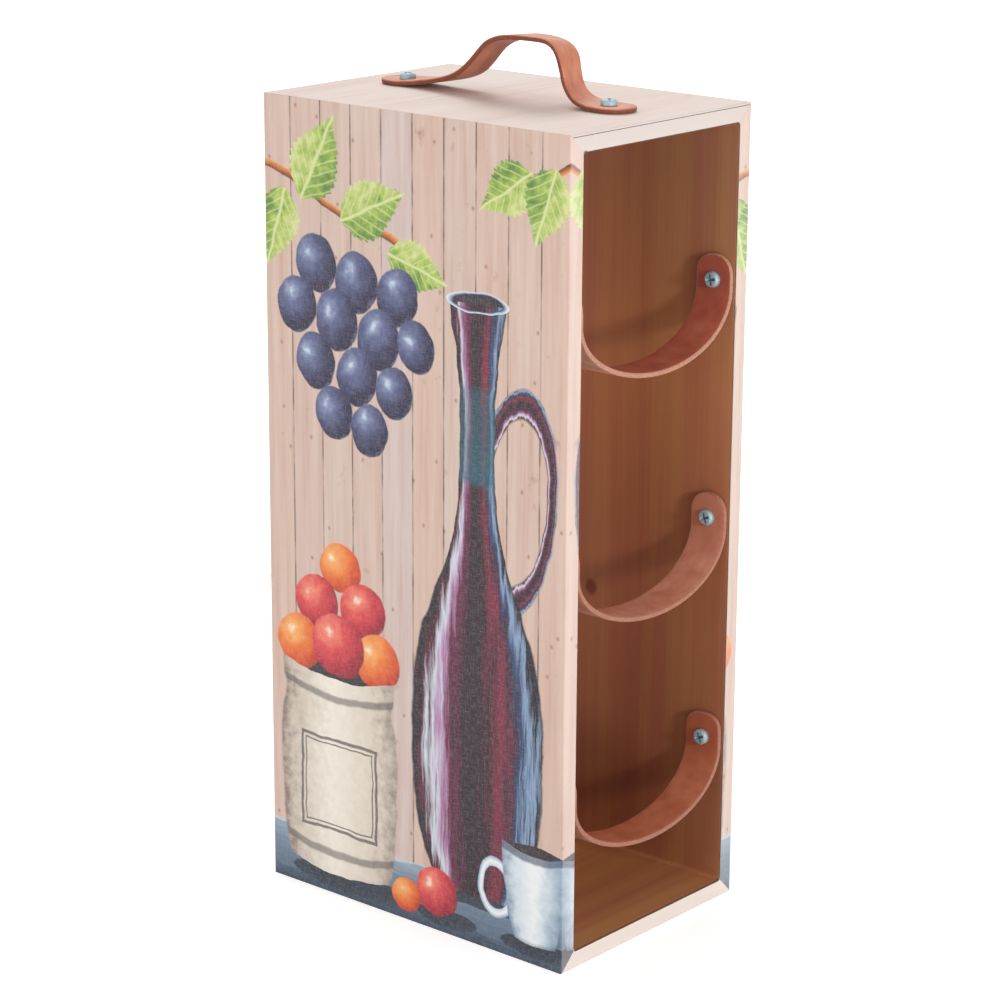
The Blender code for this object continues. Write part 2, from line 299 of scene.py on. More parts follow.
def node(tree, kind, inputs, stops=(), **settings):
    """Adds a node with its settings. An input is a value, a socket, or a node whose first output it takes.
    stops are a colour ramp's or a curve's points, or a range's two ends and what they turn to. A pattern
    gets its size from its coordinates, so its own scale is 1 unless one is given."""
    made = tree.nodes.new("ShaderNode" + kind)
    for name, value in settings.items():
        setattr(made, name, value)
    if kind in ("TexNoise", "TexVoronoi"):
        inputs = {"Scale": 1.0, **inputs}
    elif kind == "MapRange":
        inputs = {**inputs, **dict(zip(("From Min", "From Max", "To Min", "To Max"), stops))}
    for name, value in inputs.items():
        if isinstance(name, str):
            name = next(k for k, s in enumerate(made.inputs) if s.enabled and s.name == name)
        if isinstance(value, bpy.types.Node):
            value = first_output(value)
        if isinstance(value, bpy.types.NodeSocket):
            tree.links.new(value, made.inputs[name])
        else:
            made.inputs[name].default_value = value
    if kind == "ValToRGB":
        while len(made.color_ramp.elements) < len(stops):
            made.color_ramp.elements.new(1.0)
        for element, (place, shade) in zip(made.color_ramp.elements, stops):
            element.position = place
            element.color = colour(shade)
    elif kind == "FloatCurve":
        line = made.mapping.curves[0]
        while len(line.points) < len(stops):
            line.points.new(1.0, 1.0)
        for point, place in zip(line.points, stops):
            point.location = place
        made.mapping.update()
    return made


def new_material(name, roughness, **values):
    """A material, what adds a node to it, and its Principled shader. values are further sockets, spaces
    written as _."""
    material = bpy.data.materials.new(name)
    material.use_nodes = True
    shader = material.node_tree.nodes["Principled BSDF"]
    shader.inputs["Roughness"].default_value = roughness
    for name, value in values.items():
        shader.inputs[name.replace("_", " ")].default_value = value
    return material, partial(node, material.node_tree), shader


def set_surface(shader, tone, relief):
    """Gives a material its colour and its fine relief."""
    links = shader.id_data.links
    links.new(first_output(tone), shader.inputs["Base Color"])
    links.new(first_output(relief), shader.inputs["Normal"])


def along(add, stretch=(1, 1, 1)):
    """Object coordinates in millimetres, divided by stretch, so that a pattern is drawn out along an axis."""
    place = add("TexCoord", {})
    scale = [1 / (millimetre * length) for length in stretch]
    return add("Mapping", {"Vector": place.outputs["Object"], "Scale": scale})


def along_grain(add, axis, across, length):
    """Coordinates for a pattern this long along the grain and this wide across it."""
    return along(add, [length if name == axis else across for name in "XYZ"])


def share_of_height(add):
    """0 at the case's foot to 1 at its top."""
    place = add("SeparateXYZ", {"Vector": along(add)})
    return add("MapRange", {"Value": place.outputs["Z"]}, stops=(0, case_height / millimetre))


def share_of_depth(add):
    """0 in the middle of the case to 1 at its open front and back."""
    place = add("SeparateXYZ", {"Vector": along(add)})
    depth = add("Math", {0: place.outputs["Y"]}, operation="ABSOLUTE")
    return add("MapRange", {"Value": depth}, stops=(0, half_depth / millimetre))


def towards_edge(add, start, end, most):
    """Rises from 0 to most between start and end, in millimetres inside the case's open front and back."""
    edge = half_depth / millimetre
    return add("MapRange", {"Value": share_of_depth(add)}, stops=(1 - start / edge, 1 - end / edge, 0, most))


def distance_from(add, spot, reach):
    """0 at this spot to 1 at its reach along X, Y and Z, in millimetres."""
    away = add("Mapping", {"Vector": along(add), "Location": spot, "Scale": reach},
               vector_type="TEXTURE")
    return add("VectorMath", {0: away}, operation="LENGTH").outputs["Value"]


# Limed birch plywood: white pigment rubbed into the open grain, then wiped. It reads as a dull, pale wood
# with faint pinkish streaks where the pigment is thin. Along the open front and back the pigment lies on
# thicker and whiter; there it is paler low down and darker high up, as painted light from the floor. In one
# upper corner a chip shows the bare wood.
def limed_plywood(axis):
    material, add, shader = new_material(f"limed_plywood_along_{axis}", roughness=0.62, IOR=1.45)
    fibres = add("TexNoise", {"Vector": along_grain(add, axis, *limed_fibres), "Detail": 4.0,
                              "Roughness": 0.55})
    clouds = add("TexNoise", {"Vector": along_grain(add, axis, *limed_clouds), "Detail": 2.0})
    mixed = add("Mix", {"Factor": 0.55, "A": fibres, "B": clouds})
    tone = add("ValToRGB", {"Fac": mixed}, stops=limed_shades)
    # Paler low down and darker high up on the open front and back: painted light from the floor
    paint = add("ValToRGB", {"Fac": share_of_height(add)}, stops=edge_paint)
    near = towards_edge(add, start=0.8, end=0.3, most=0.8)
    tone = add("Mix", {"Factor": near, "A": tone, "B": paint}, data_type="RGBA")
    away = distance_from(add, chip_place, chip_reach)
    ragged = add("TexNoise", {"Vector": along(add, chip_grit), "Detail": 2.0})
    away = add("Math", {0: ragged, 1: chip_raggedness, 2: away}, operation="MULTIPLY_ADD")
    chipped = add("MapRange", {"Value": away}, stops=chip_fade)
    tone = add("Mix", {"Factor": chipped, "A": tone, "B": colour(chip_shade)}, data_type="RGBA")
    relief = add("Bump", {"Height": fibres, "Strength": 0.35, "Distance": 0.0002})
    set_surface(shader, tone, relief)
    return material


# Plywood with a brown spirit stain: it soaks in unevenly, so the fibres show as darker and yellower streaks
# along the grain, and the surface stays matt. Up the height and across the depth its tone carries painted
# light and shade, darker low down and lightest about two thirds up. A knot is darker, a patch low on the
# right wall is a painted shadow of the bottom sling, and along the open front and back the stain has pooled,
# with painted shade there.
def stained_plywood(axis):
    material, add, shader = new_material(f"stained_plywood_along_{axis}", roughness=0.55, IOR=1.45)
    fibres = add("TexNoise", {"Vector": along_grain(add, axis, *stained_fibres), "Detail": 2.0,
                              "Roughness": 0.5})
    streaks = add("TexNoise", {"Vector": along_grain(add, axis, *stained_streaks), "Detail": 1.0})
    mixed = add("Mix", {"Factor": 0.7, "A": fibres, "B": streaks})
    tone = add("ValToRGB", {"Fac": mixed}, stops=stained_shades)
    # Painted light and shade up the height and across the depth, the knot, and the painted shadow of the
    # bottom sling
    for share, shades in ((share_of_height(add), stain_fall), (share_of_depth(add), stain_bands),
                          (distance_from(add, knot_place, knot_size), knot_shades),
                          (distance_from(add, heavy_stain_place, heavy_stain_size), heavy_stain_shades)):
        layer = add("ValToRGB", {"Fac": share}, stops=shades)
        tone = add("Mix", {"Factor": 1.0, "A": tone, "B": layer}, data_type="RGBA", blend_type="MULTIPLY")
    # Pooled stain along the open front and back, with painted shade there
    pooled = towards_edge(add, start=1.2, end=0.4, most=0.85)
    tone = add("Mix", {"Factor": pooled, "A": tone, "B": colour(pooled_stain_shade)}, data_type="RGBA")
    relief = add("Bump", {"Height": fibres, "Strength": 0.15, "Distance": 0.0002})
    set_surface(shader, tone, relief)
    return material


# Vegetable-tanned cowhide, dyed through and lightly waxed: a warm brown with cloudy patches, fine pores and
# a soft sheen on the grain side. The pores are drawn 0.9 mm apart, wider than real ones, to show. A sling is
# darker round its screw, where the screw presses it against the board, and that darkening is also painted
# shade.
def leather_face(name, dark, middle, light, screw_level=None):
    material, add, shader = new_material(name, roughness=0.5, IOR=1.5)
    clouds = add("TexNoise", {"Vector": along(add, (9, 9, 9)), "Detail": 4.0})
    tone = add("ValToRGB", {"Fac": clouds}, stops=[(0.3, dark), (0.5, middle), (0.7, light)])
    # Pressed leather round the screw, darkened further as painted shade
    if screw_level:
        height = add("SeparateXYZ", {"Vector": along(add)}).outputs["Z"]
        level = screw_level / millimetre
        pressed = add("MapRange", {"Value": height}, stops=(level - pressed_height, level, 0, pressed_share))
        for shade, blend in ((dark, "MIX"), (pressed_tone, "MULTIPLY")):
            tone = add("Mix", {"Factor": pressed, "A": tone, "B": colour(shade)}, data_type="RGBA",
                       blend_type=blend)
    pores = add("TexVoronoi", {"Vector": along(add, (0.9, 0.9, 0.9))})
    relief = add("Bump", {"Height": pores, "Strength": 0.25, "Distance": 0.0002})
    set_surface(shader, tone, relief)
    return material


# The cut edge of the same hide: raw fibres, rougher than the face. Its shades are given for each strap and
# are
# partly painted shade: the handle's and the middle sling's edges are darker than their faces. The fibres are
# drawn 0.8 mm thick to show.
def leather_edge(name, dark, light):
    material, add, shader = new_material(name, roughness=0.75, IOR=1.5)
    fibres = add("TexNoise", {"Vector": along(add, (0.8, 0.8, 0.8)), "Detail": 4.0})
    tone = add("ValToRGB", {"Fac": fibres}, stops=[(0.35, dark), (0.65, light)])
    relief = add("Bump", {"Height": fibres, "Strength": 0.4, "Distance": 0.0003})
    set_surface(shader, tone, relief)
    return material


# Blue-passivated zinc plate on steel: a bright, faintly blue metal with a fine grained surface. The grain is
# drawn 0.5 mm wide to show.
def zinc_plate(name, dark, light):
    material, add, shader = new_material(name, roughness=0.6, Metallic=0.5)
    grit = add("TexNoise", {"Vector": along(add, (0.5, 0.5, 0.5)), "Detail": 3.0})
    tone = add("ValToRGB", {"Fac": grit}, stops=[(0.3, dark), (0.7, light)])
    relief = add("Bump", {"Height": grit, "Strength": 0.1, "Distance": 0.0001})
    set_surface(shader, tone, relief)
    return material


def brushed(add, place, across, up):
    """The print's place in shares of a pattern's size across and up."""
    return add("Mapping", {"Vector": place, "Scale": (1 / across, 1 / up, 1)})


def painted_planks(add, place):
    """The print's background: weathered upright boards of different tints, with faint grain, grey stains,
    rusty nail marks, and joints that are darker in some places than in others."""
    spot = add("SeparateXYZ", {"Vector": place})
    count = add("Math", {0: spot.outputs["X"], 1: 1 / plank_width, 2: plank_shift}, operation="MULTIPLY_ADD")
    number = add("Math", {0: count}, operation="FLOOR")
    lot = add("TexWhiteNoise", {"W": number}, noise_dimensions="1D")
    wood = add("ValToRGB", {"Fac": lot}, stops=plank_shades)
    shift = add("CombineXYZ", {"Z": number})
    for size, shades in ((plank_grain, plank_grain_shades), (plank_stains, plank_stain_shades)):
        drawn = add("VectorMath", {0: brushed(add, place, *size), 1: shift}, operation="ADD")
        figure = add("TexNoise", {"Vector": drawn, "Detail": 4.0, "Roughness": 0.6})
        figure = add("ValToRGB", {"Fac": figure}, stops=shades)
        wood = add("Mix", {"Factor": 1.0, "A": wood, "B": figure}, data_type="RGBA", blend_type="MULTIPLY")
    nails = add("TexVoronoi", {"Vector": brushed(add, place, *nail_spacing)}, voronoi_dimensions="2D")
    inside = add("MapRange", {"Value": nails}, stops=nail_mark)
    wood = add("Mix", {"Factor": inside, "A": wood, "B": colour(nail_shade)}, data_type="RGBA")
    edge = add("Math", {0: count, 1: 0.5}, operation="PINGPONG")
    inside = add("MapRange", {"Value": edge}, stops=joint_mark)
    worn = add("TexNoise", {"Vector": brushed(add, place, *joint_wear), "Detail": 4.0})
    worn = add("MapRange", {"Value": worn}, stops=joint_fading)
    inside = add("Math", {0: inside, 1: worn}, operation="MULTIPLY")
    return add("Mix", {"Factor": inside, "A": wood, "B": colour(joint_shade)}, data_type="RGBA")


def painted_table(add, place, height, strokes):
    """A table with a slate-blue cloth along the print's foot: lighter on top, a pale line at its far edge.
    Like the painters below, it gives where it covers the print, and its colour there."""
    up = add("SeparateXYZ", {"Vector": place}).outputs["Y"]
    depth = add("MapRange", {"Value": up}, stops=(0, height))
    lit = add("Mix", {"Factor": 0.35, "A": depth, "B": strokes})
    paint = add("ValToRGB", {"Fac": lit}, stops=cloth_shades)
    inside = add("MapRange", {"Value": up}, stops=(height, height + 0.8, 1.0, 0.0))
    return inside, paint


def set_out(add, place, spot, turn, size):
    """The print's place in a motif's own measure: from its spot, turned, in shares of its size."""
    return add("Mapping", {"Vector": place, "Location": (*spot, 0), "Rotation": (0, 0, math.radians(turn)),
                           "Scale": (*size, 1)}, vector_type="TEXTURE")


def brushed_in(add, past, edge, across, contrast, strokes, shades):
    """Covers what lies short of a soft edge, and shades it across, with brush strokes in the shading."""
    inside = add("MapRange", {"Value": past}, stops=(*edge, 1.0, 0.0))
    tone = add("Math", {0: across, 1: contrast, 2: strokes}, operation="MULTIPLY_ADD")
    return inside, add("ValToRGB", {"Fac": tone}, stops=shades)


def painted_fruit(add, place, spot, radius, shades, bloom, flat=1.0, turn=0):
    """A round fruit, brightest at its glint and darkest at the far rim."""
    own = set_out(add, place, spot, turn, (radius / fruit_rim, radius * flat / fruit_rim))
    away = add("VectorMath", {0: own}, operation="LENGTH")
    lit = add("VectorMath", {0: own, 1: fruit_glint}, operation="DISTANCE")
    return brushed_in(add, away, (fruit_rim - 0.03, fruit_rim), lit, 1.0, bloom, shades)


def painted_leaf(add, place, spot, turn, length, width, strokes):
    """A pointed leaf with a toothed edge, a midrib and side veins."""
    own = set_out(add, place, spot, turn, (length, width / 2))
    own = add("SeparateXYZ", {"Vector": own})
    aside = add("Math", {0: own.outputs["Y"]}, operation="ABSOLUTE")
    reach = add("FloatCurve", {"Value": own.outputs["X"]}, stops=leaf_outline)
    teeth = add("Math", {0: own.outputs["X"], 1: tooth_length}, operation="PINGPONG")
    teeth = add("Math", {0: teeth, 1: reach}, operation="MULTIPLY")
    reach = add("Math", {0: teeth, 1: tooth_depth, 2: reach}, operation="MULTIPLY_ADD")
    past = add("Math", {0: aside, 1: reach}, operation="SUBTRACT")
    inside, paint = brushed_in(add, past, (-0.07, 0.0), own.outputs["Y"], 0.22, strokes, leaf_shades)
    slant = add("Math", {0: aside, 1: -vein_slant, 2: own.outputs["X"]}, operation="MULTIPLY_ADD")
    slant = add("Math", {0: slant, 1: vein_spacing}, operation="PINGPONG")
    veins = add("MapRange", {"Value": slant}, stops=(0.004, 0.02, 0.55, 0.0))
    rib = add("MapRange", {"Value": aside}, stops=(0.03, 0.09, 0.9, 0.0))
    veins = add("Math", {0: veins, 1: rib}, operation="MAXIMUM")
    paint = add("Mix", {"Factor": veins, "A": paint, "B": colour(vein_shade)}, data_type="RGBA")
    return inside, paint


def painted_twig(add, place, spot, turn, length, thickness, sway, strokes):
    """A bent twig, lighter along its upper side."""
    own = set_out(add, place, spot, turn, (length, thickness / 2))
    own = add("SeparateXYZ", {"Vector": own})
    bend = add("FloatCurve", {"Value": own.outputs["X"]}, stops=twig_bend)
    aside = add("Math", {0: bend, 1: -sway, 2: own.outputs["Y"]}, operation="MULTIPLY_ADD")
    past = add("Math", {0: aside}, operation="ABSOLUTE")
    inside, paint = brushed_in(add, past, (0.7, 1.0), aside, 0.3, strokes, twig_shades)
    end = add("Math", {0: own.outputs["X"], 1: 0.5, 2: 0.5}, operation="COMPARE")
    return add("Math", {0: inside, 1: end}, operation="MULTIPLY"), paint


def painted_ring(add, place, spot, turn, radii, thickness, strokes, shades):
    """A rim or a handle seen as a ring."""
    own = set_out(add, place, spot, turn, radii)
    away = add("VectorMath", {0: own}, operation="LENGTH")
    aside = add("Math", {0: away, 1: 1.0}, operation="SUBTRACT")
    past = add("Math", {0: aside}, operation="ABSOLUTE")
    return brushed_in(add, past, (thickness * 0.8, thickness), aside, 0.4 / thickness, strokes, shades)


def painted_vessel(add, place, foot, size, outline, bow, strokes, shades, bands, ink):
    """A turned pot. Its foot and rim bow as seen from a little above. bands gives the ink up its height."""
    own = add("SeparateXYZ", {"Vector": set_out(add, place, foot, 0, size)})
    across = own.outputs["X"]
    square = add("Math", {0: across, 1: across}, operation="MULTIPLY")
    height = add("Math", {0: square, 1: -bow, 2: own.outputs["Y"]}, operation="MULTIPLY_ADD")
    reach = add("FloatCurve", {"Value": height}, stops=outline)
    share = add("Math", {0: across, 1: reach}, operation="DIVIDE")
    past = add("Math", {0: share}, operation="ABSOLUTE")
    inside, paint = brushed_in(add, past, (0.965, 1.0), share, 0.4, strokes, shades)
    upright = add("Math", {0: height, 1: 0.5, 2: 0.5}, operation="COMPARE")
    inside = add("Math", {0: inside, 1: upright}, operation="MULTIPLY")
    band = add("ValToRGB", {"Fac": height}, stops=bands)
    return inside, add("Mix", {"Factor": band, "A": paint, "B": colour(ink)}, data_type="RGBA")


def painted_frame(add, place, spot, half_sides, line, ink):
    """A ruled frame with nothing in it."""
    own = add("SeparateXYZ", {"Vector": set_out(add, place, spot, 0, (1, 1))})
    sides = []
    for axis, half in zip("XY", half_sides):
        side = add("Math", {0: own.outputs[axis]}, operation="ABSOLUTE")
        sides.append(add("Math", {0: side, 1: half}, operation="SUBTRACT"))
    past = add("Math", {0: sides[0], 1: sides[1]}, operation="MAXIMUM")
    past = add("Math", {0: past}, operation="ABSOLUTE")
    inside = add("MapRange", {"Value": past}, stops=(line / 2, line / 2 + 0.4, 0.85, 0.0))
    return inside, colour(ink)


# Cotton canvas with a pigment print and a matt protective coat. The weave shows as fine relief and as pale
# flecks in the dark parts, because the ink stays on top of the threads. The slubs in its threads are about
# 0.4 mm wide, and they are drawn 0.6 mm wide to show. The strips over the open front and back are paler.
def printed_canvas():
    material, add, shader = new_material("printed_cotton_canvas", roughness=0.58, IOR=1.45)
    flat_place = add("Attribute", {}, attribute_name="print_place").outputs["Vector"]
    sway = add("TexNoise", {"Vector": flat_place, "Scale": 1 / 14, "Detail": 3.0})
    sway = add("VectorMath", {0: sway.outputs["Color"], 1: (0.5, 0.5, 0.5)}, operation="SUBTRACT")
    sway = add("VectorMath", {0: sway, 1: brush_sway, 2: flat_place}, operation="MULTIPLY_ADD")
    place = sway.outputs["Vector"]
    strokes = add("TexNoise", {"Vector": brushed(add, place, 3.4, 60), "Detail": 4.0, "Roughness": 0.65})
    strokes = add("MapRange", {"Value": strokes}, stops=(0.2, 0.8, 0.41, 0.59))
    wipes = add("TexNoise", {"Vector": brushed(add, place, 30, 2.5), "Detail": 4.0, "Roughness": 0.65})
    dabs = add("TexNoise", {"Vector": place, "Scale": 1 / 6, "Detail": 4.0, "Roughness": 0.6})
    smears = add("MapRange", {"Value": dabs}, stops=(0.2, 0.8, 0.4, 0.6))
    bloom = add("MapRange", {"Value": dabs}, stops=(0.25, 0.75, -0.13, 0.13))

    # The still life, from the things at the back to the things in front
    motifs = [(painted_table, cloth_height, wipes)]
    motifs += [(painted_fruit, spot, radius, shadow_shades, 0.0, flat)
               for spot, radius, flat in cloth_shadows]
    motifs += [(painted_twig, (-8, 366), -20, 112, 4.6, 3.0, smears)]
    motifs += [(painted_leaf, *leaf, dabs) for leaf in upper_leaves]
    motifs += [(painted_fruit, spot, radius, plum_shades, bloom, 1.1, turn) for spot, radius, turn in plums]
    motifs += [(painted_ring, (160, 226), -6, (21, 48), 0.17, strokes, glaze_shades),
               (painted_fruit, (136, 317), 16, hollow_shades, 0.0, 0.28),
               (painted_vessel, (136, 24), (42, 292), pitcher_outline, 0.02, strokes, glaze_shades,
                pitcher_bands, "#2E6270"),
               (painted_ring, (136, 317), 0, (17, 4.6), 0.14, smears, rim_shades),
               (painted_fruit, (46, 117), 37, hollow_shades, 0.0, 0.2)]
    motifs += [(painted_fruit, *fruit, bloom, 0.92) for fruit in basket_fruit]
    motifs += [(painted_vessel, (46, 10), (39, 104), crock_outline, 0.06, smears, stoneware_shades,
                crock_bands, "#51474B"),
               (painted_frame, (46, 58), (25, 24), 1.2, "#5B5052"),
               (painted_frame, (46, 58), (22.5, 21.5), 0.4, "#5B5052")]
    motifs += [(painted_fruit, *fruit, bloom, 0.92) for fruit in low_fruit]
    motifs += [(painted_ring, (149, 33), 8, (10, 13), 0.2, smears, enamel_shades),
               (painted_fruit, (173, 55), 21, hollow_shades, 0.0, 0.26),
               (painted_vessel, (173, 9), (21, 46), cup_outline, 0.1, smears, enamel_shades, cup_bands,
                "#33415F"),
               (painted_twig, (196, 392), 206, 62, 3.6, 2.4, smears)]
    motifs += [(painted_leaf, *leaf, dabs) for leaf in corner_leaves]
    art = painted_planks(add, flat_place)
    for painter, *details in motifs:
        inside, paint = painter(add, place, *details)
        art = add("Mix", {"Factor": inside, "A": art, "B": paint}, data_type="RGBA")

    threads = []
    for size in ((thread_length, thread_width), (thread_width, thread_length)):
        threads.append(add("TexNoise", {"Vector": brushed(add, flat_place, *size), "Detail": 1.0}))
    weave = add("Math", {0: threads[0], 1: threads[1]}, operation="MAXIMUM")
    flecks = add("MapRange", {"Value": weave}, stops=(0.5, 0.72, 0.0, 0.1))
    art = add("Mix", {"Factor": flecks, "A": art, "B": colour(fleck_shade)}, data_type="RGBA")
    # The strips over the open front and back are mixed towards a pale tone
    rubbed = towards_edge(add, start=0.3, end=0.1, most=0.18)
    art = add("Mix", {"Factor": rubbed, "A": art, "B": colour(rubbed_shade)}, data_type="RGBA")
    relief = add("Bump", {"Height": weave, "Strength": 0.5, "Distance": 0.0002})
    set_surface(shader, art, relief)
    return material


# The same canvas where it isn't printed, on its back and its cut ends: off-white and without gloss.
def raw_canvas():
    material, _, shader = new_material("raw_cotton_canvas", roughness=0.9, IOR=1.45)
    shader.inputs["Base Color"].default_value = colour("#E9E2D8")
    return material


def add_piece(name, mesh, body, replaced, materials=()):
    """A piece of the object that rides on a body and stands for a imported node."""
    piece = bpy.data.objects.new(name, mesh)
    scene.collection.objects.link(piece)
    for material in materials:
        mesh.materials.append(material)
    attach(piece, body)
    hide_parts(replaced)
    return piece


def finished_mesh(solid, name, crease=crease_angle):
    """The mesh of this bmesh, its doubled points merged, its faces turned out and its round parts smooth."""
    bmesh.ops.remove_doubles(solid, verts=solid.verts, dist=merge_distance)
    bmesh.ops.recalc_face_normals(solid, faces=solid.faces)
    mesh = bpy.data.meshes.new(name)
    solid.to_mesh(mesh)
    solid.free()
    mesh.shade_smooth()
    mesh.set_sharp_from_angle(angle=math.radians(crease))
    return mesh


def rings_to_tube(solid, rings, marks, cyclic=False):
    """Faces between rings of points. marks gives each face round a ring its material."""
    rows = [[solid.verts.new(point) for point in ring] for ring in rings]
    count = len(rings[0])
    for low, high in zip(rows, rows[1:]):
        for k in range(count):
            after = (k + 1) % count
            face = solid.faces.new((low[k], low[after], high[after], high[k]))
            face.material_index = marks[k]
    if not cyclic:
        for row in (rows[0], rows[-1]):
            solid.faces.new(row).material_index = marks[0]
    return rows


def board_section(low, high, reach, facing_line):
    """A board's section as (d, t), and the material of each side that starts at those points: d across the
    depth, and t inwards from the case's outside. It starts at the outside, and every arris is rounded. The
    glue line behind the top board's facing is as dark as the inside."""
    section = []
    for side, t, radius, start in ((-1, low, outer_arris, 270), (-1, high, inner_arris, 180),
                                   (1, high, inner_arris, 90), (1, low, outer_arris, 0)):
        centre = t + radius if t == low else t - radius
        for step in range(arris_steps + 1):
            turn = math.radians(start - 90 * step / arris_steps)
            section.append((side * (reach - radius) + radius * math.cos(turn),
                            centre + radius * math.sin(turn)))
        if facing_line and (side, t) == (-1, low):
            for width, cut in ((-0.5, 0), (0, facing_line_cut), (0.5, 0)):
                section.append((cut - reach, facing_line_depth + width * facing_line_width))
    middle = (low + high) / 2
    marks = [int(min(t, after) <= middle) for (_, t), (_, after) in zip(section, section[1:] + section[:1])]
    if facing_line:
        marks[arris_steps + 1:arris_steps + 3] = [0, 0]
    return section, marks


def fillet(away, radius):
    """How far a rounded inside corner stands off a wall, this far from the corner."""
    rest = max(radius - away, 0)
    return radius - math.sqrt(radius * radius - rest * rest)


def mitred_board(name, low, high, reach, half_length, place, axis, facing_line=False):
    """A board whose ends are cut at 45 degrees, so that it gets shorter towards the inside. Filler in the
    case's corners rounds them, most of all at the front."""
    section, marks = board_section(low, high, reach, facing_line)
    middle = (low + high) / 2
    inner_half = half_length - high
    ends = [1 - corner_fillet * k / corner_steps / inner_half for k in range(corner_steps)]
    count = round(2 * inner_half / board_step)
    shares = [2 * k / count - 1 for k in range(1, count)]
    shares = [-share for share in ends] + [share for share in shares if abs(share) < ends[-1]] + ends[::-1]
    rings = []
    for share in shares:
        ring = []
        for d, t in section:
            if t > middle:
                front = max(0, 1 - (d + reach) / corner_fillet_depth)
                radius = corner_fillet_inside + (corner_fillet - corner_fillet_inside) * front
                t += fillet((1 - abs(share)) * inner_half + radius * (1 - math.sqrt(0.5)), radius)
            run = share * (half_length - t + mitre_overlap)
            wander = arris_wander * noise.noise(Vector(place(run, d, t)) / arris_wander_length)
            ring.append(place(run, d - math.copysign(abs(wander), d), t))
        rings.append(ring)
    solid = bmesh.new()
    rings_to_tube(solid, rings, marks)
    mesh = finished_mesh(solid, name)
    return add_piece(f"{name}_finish", mesh, "case", name, [stained[axis], limed[axis]])


def build_boards():
    mitred_board("top_board", 0, wall_thickness, half_depth, half_width,
                 lambda run, d, t: (run, d, case_height - t), "X", facing_line=True)
    mitred_board("bottom_board", 0, wall_thickness, half_depth, half_width, lambda run, d, t: (run, d, t),
                 "X")
    for name, side in (("left_side_board", -1), ("right_side_board", 1)):
        mitred_board(name, skin, wall_thickness, half_depth - skin, half_height,
                     lambda run, d, t, side=side: (side * (half_width - t), d, half_height + run), "Z")


class Route:
    """A strap's route: two edge lines of equal point count, measured by length along the middle."""

    def __init__(self, left, right):
        self.left = left
        self.right = right
        middle = [(a + b) / 2 for a, b in zip(left, right)]
        self.lengths = [0.0]
        for a, b in zip(middle, middle[1:]):
            self.lengths.append(self.lengths[-1] + (b - a).length)
        self.length = self.lengths[-1]

    def at(self, distance, across, depth):
        """The point this far along, this far across from the middle and this far from the back towards the
        face."""
        distance = min(max(distance, 0.0), self.length)
        k = 0
        while k < len(self.lengths) - 2 and self.lengths[k + 1] < distance:
            k += 1
        share = (distance - self.lengths[k]) / (self.lengths[k + 1] - self.lengths[k])
        left = self.left[k].lerp(self.left[k + 1], share)
        right = self.right[k].lerp(self.right[k + 1], share)
        aside = (right - left).normalized()
        before, after = max(k - 1, 0), min(k + 2, len(self.left) - 1)
        forward = (self.left[after] + self.right[after]) - (self.left[before] + self.right[before])
        normal = aside.cross(forward).normalized()
        return (left + right) / 2 + aside * across + normal * depth


def strap_mesh(name, route, width, thickness, screws, squareness):
    """A strap cut from flat leather, bent along its route: round ends, rounded edges, and a dent round each
    screw. Material 0 is the face, 1 the back, 2 the cut edge and 3 its rounding towards the face."""
    radius = width / 2
    turns = [math.pi / 2 * k / tip_steps for k in range(tip_steps + 1)]
    tip = [(abs(math.cos(turn)) ** (2 / squareness), math.sin(turn) ** (2 / squareness)) for turn in turns]
    straight = route.length - 2 * radius
    rows = [(radius, -run, spread) for run, spread in tip]
    count = round(straight / strap_row_step)
    rows += [(radius + straight * k / count, 0.0, 1.0) for k in range(1, count)]
    rows += [(radius + straight, run, spread) for run, spread in reversed(tip)]
    corner = [math.pi / 2 * k / strap_edge_steps for k in range(strap_edge_steps + 1)]
    r = strap_edge_radius
    profile = [(r * (1 - math.sin(turn)), r * (1 - math.cos(turn))) for turn in corner]
    profile += [(inset, thickness - depth) for inset, depth in reversed(profile)]
    columns = [2 * k / strap_columns - 1 for k in range(1, strap_columns)]

    def spot(row, side, inset, depth):
        centre, run, spread = row
        distance = centre + run * (radius - inset)
        across = side * spread * (radius - inset)
        for screw in screws:
            away = math.hypot(distance - screw, across) / screw_dent_reach
            depth += screw_dent * math.exp(-away ** 4) * (1 - depth / thickness)
        return route.at(distance, across, thickness - depth)

    rings = []
    for row in rows:
        ring = [spot(row, 1, inset, depth) for inset, depth in profile]
        ring += [spot(row, -share, r, thickness) for share in columns]
        ring += [spot(row, -1, inset, depth) for inset, depth in reversed(profile)]
        ring += [spot(row, share, r, 0) for share in columns]
        rings.append(ring)
    rounding = [3] * strap_edge_steps
    raw = [2] * (strap_edge_steps + 1)
    marks = rounding + raw + [1] * strap_columns + raw + rounding + [0] * strap_columns
    solid = bmesh.new()
    rings_to_tube(solid, rings, marks, cyclic=True)
    return finished_mesh(solid, name, strap_crease_angle)


def sling_route(y, height):
    start = -sling_straight_drop
    drop = sling_sag - sling_straight_drop
    line = [(-sling_span, sling_tab_rise), (-sling_span, sling_tab_rise / 2), (-sling_span, 0.0)]
    for step in range(sling_curve_steps + 1):
        turn = math.pi * step / sling_curve_steps
        x = -sling_span * math.cos(turn) + sling_lean * math.sin(turn) ** 2
        line.append((x, start - drop * math.sin(turn)))
    line += [(-x, z) for x, z in reversed(line[:3])]
    edges = [[Vector((x, y + side * sling_width / 2, height + z)) for x, z in line] for side in (1, -1)]
    return Route(*edges)


